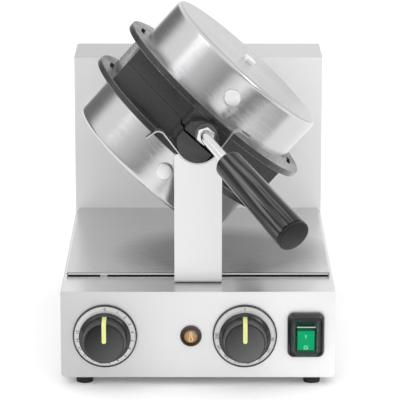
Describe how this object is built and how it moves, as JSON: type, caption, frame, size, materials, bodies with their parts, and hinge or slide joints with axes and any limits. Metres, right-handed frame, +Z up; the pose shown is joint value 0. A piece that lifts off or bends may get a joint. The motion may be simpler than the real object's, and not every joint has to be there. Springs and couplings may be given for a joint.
{
  "type": "bubble waffle maker",
  "caption": "Countertop cooker with a pair of round hinged pans that turn over on a level axis, a slanting handle, and knobs on the front of its base.",
  "frame": {"origin": "on the counter, below the centre of the whole outline", "axes": "+X to the user's right, +Y from the control panel to the back, +Z up"},
  "size_m": [0.305, 0.621, 0.4017],
  "materials": {
    "sheet_steel": "satin",
    "cover_steel": "brushed",
    "plated_steel": "polished",
    "cast_pan": "matt cast",
    "heater_steel": "dull",
    "bronze_bush": "satin",
    "foot_rubber": "matt",
    "black_plastic": "satin",
    "scale_metal": "satin",
    "pointer_yellow": "satin",
    "control_case": "matt",
    "lamp_amber": "gloss",
    "switch_green": "gloss",
    "clear_plastic": "gloss",
    "grip_plastic": "satin"
  },
  "bodies": {
    "frame": {"base_back": "sheet_steel", "base_front": "sheet_steel", "base_shell": "sheet_steel", "bearing_bolts": "plated_steel", "bearing_bush": "bronze_bush", "bearing_flange": "plated_steel", "bottom_plate": "sheet_steel", "cable_gland": "black_plastic", "cradle_strap": "sheet_steel", "feet": "foot_rubber", "front_post": "sheet_steel", "lamp_bezel": "black_plastic", "lamp_body": "control_case", "lamp_lens": "lamp_amber", "rear_cover": "sheet_steel", "rear_cover_screws": "plated_steel", "rear_housing": "sheet_steel", "stop_bracket": "sheet_steel", "switch_body": "black_plastic", "switch_frame": "black_plastic", "switch_splash_cover": "clear_plastic", "terminal_block": "control_case", "thermostat_bezel": "black_plastic", "thermostat_body": "control_case", "thermostat_scale": "scale_metal", "timer_bezel": "black_plastic", "timer_body": "control_case", "timer_scale": "scale_metal", "tray": "sheet_steel"},
    "lower_pan": {"lower_plate": "cast_pan", "lower_cover": "cover_steel", "lower_heater": "heater_steel", "lower_cover_clips": "sheet_steel", "lower_cover_bolts": "plated_steel", "hinge_ear_left": "plated_steel", "hinge_ear_right": "plated_steel", "ear_bolts": "plated_steel", "hinge_pin": "plated_steel", "rear_axle": "plated_steel", "axle_collar": "plated_steel"},
    "lid": {"upper_plate": "cast_pan", "upper_cover": "cover_steel", "upper_heater": "heater_steel", "upper_cover_clips": "sheet_steel", "upper_cover_bolts": "plated_steel", "handle_rod": "plated_steel", "handle_nut": "plated_steel", "handle_washer": "plated_steel", "handle_grip": "grip_plastic", "grip_cap": "grip_plastic", "lid_hinge_bracket": "plated_steel"},
    "timer_dial": {"timer_knob": "black_plastic", "timer_pointer": "pointer_yellow", "timer_shaft": "plated_steel"},
    "thermostat_dial": {"thermostat_knob": "black_plastic", "thermostat_pointer": "pointer_yellow", "thermostat_shaft": "plated_steel"},
    "rocker": {"switch_rocker": "switch_green"}
  },
  "joints": [
    {"name": "pan_rotation", "type": "hinge", "parent": "frame", "child": "lower_pan", "pos_m": [0, -0.00348, 0.2697], "axis": [0, 1, 0], "range_deg": [-42, 138]},
    {"name": "lid_hinge", "type": "hinge", "parent": "lower_pan", "child": "lid", "pos_m": [0.0261, 0.11652, 0.29868], "axis": [0.7431, 0, -0.6691], "range_deg": [-95, 0]},
    {"name": "timer_turn", "type": "hinge", "parent": "frame", "child": "timer_dial", "pos_m": [-0.1034, -0.18248, 0.0572], "axis": [0, 1, 0], "range_deg": [0, 300]},
    {"name": "thermostat_turn", "type": "hinge", "parent": "frame", "child": "thermostat_dial", "pos_m": [0.0518, -0.18248, 0.0572], "axis": [0, 1, 0], "range_deg": [0, 270]},
    {"name": "switch_rock", "type": "hinge", "parent": "frame", "child": "rocker", "pos_m": [0.1195, -0.18048, 0.0582], "axis": [-1, 0, 0], "range_deg": [0, 14]}
  ]
}
